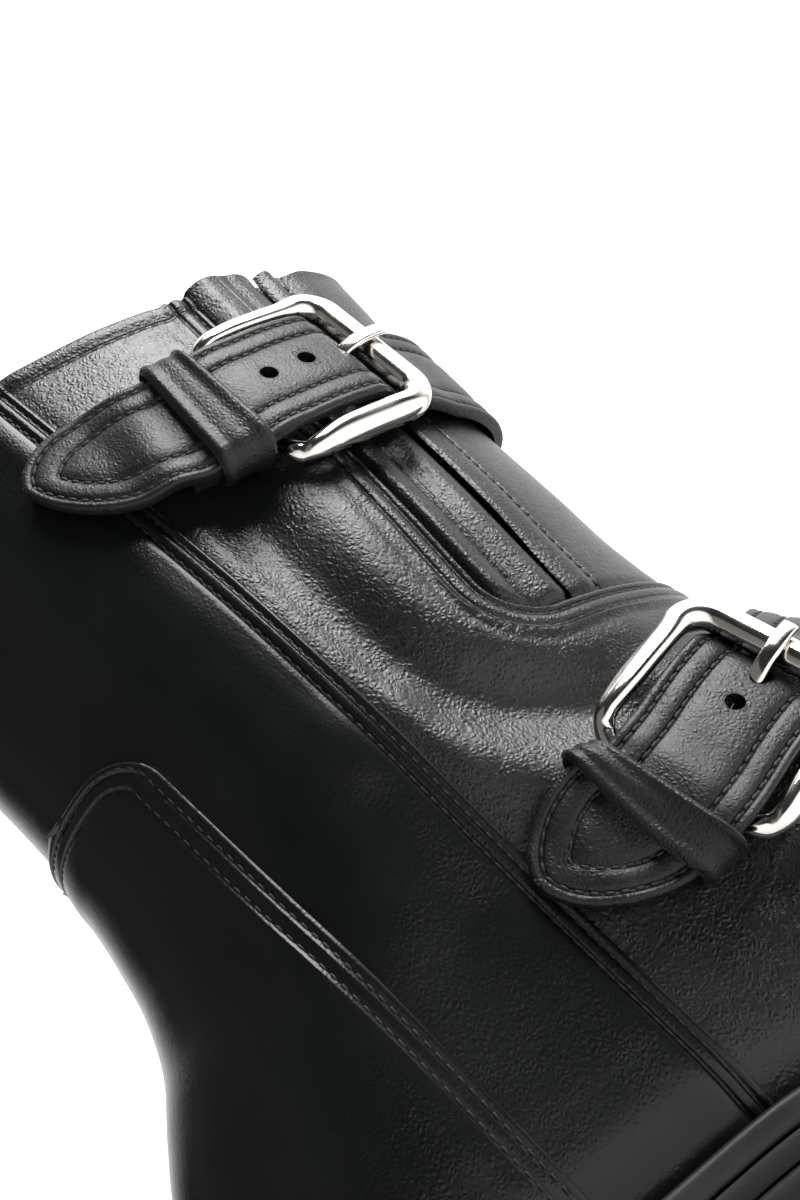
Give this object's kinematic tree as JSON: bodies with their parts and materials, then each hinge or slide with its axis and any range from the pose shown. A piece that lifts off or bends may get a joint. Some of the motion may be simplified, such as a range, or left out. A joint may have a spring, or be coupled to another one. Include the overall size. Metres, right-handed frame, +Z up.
{
  "type": "buckle boot",
  "caption": "Hollow black leather ankle boot with buckled straps round collar and instep, a front gusset, a heel counter and a lugged rubber sole.",
  "frame": {"origin": "middle of the bounding box, on the floor", "axes": "+X from heel to toe, +Y to the inner side of the foot, +Z up from the floor"},
  "size_m": [0.2766, 0.1056, 0.226],
  "materials": {
    "upper_leather": "grained, half gloss",
    "strap_leather": "pebbled, half gloss",
    "welt_leather": "smooth, satin",
    "sole_rubber": "satin",
    "insole_board": "matt",
    "plated_metal": "polished"
  },
  "bodies": {
    "root": {"outsole": "sole_rubber", "heel": "sole_rubber", "midsole": "sole_rubber", "welt": "welt_leather", "insole": "insole_board", "upper": "upper_leather", "heel_counter": "upper_leather", "front_gusset": "upper_leather", "front_tongue": "upper_leather", "upper_strap": "strap_leather", "lower_strap": "strap_leather", "upper_chape": "strap_leather", "lower_chape": "strap_leather", "upper_keeper": "strap_leather", "lower_keeper": "strap_leather", "upper_buckle": "plated_metal", "lower_buckle": "plated_metal", "upper_prong": "plated_metal", "lower_prong": "plated_metal"}
  },
  "joints": []
}
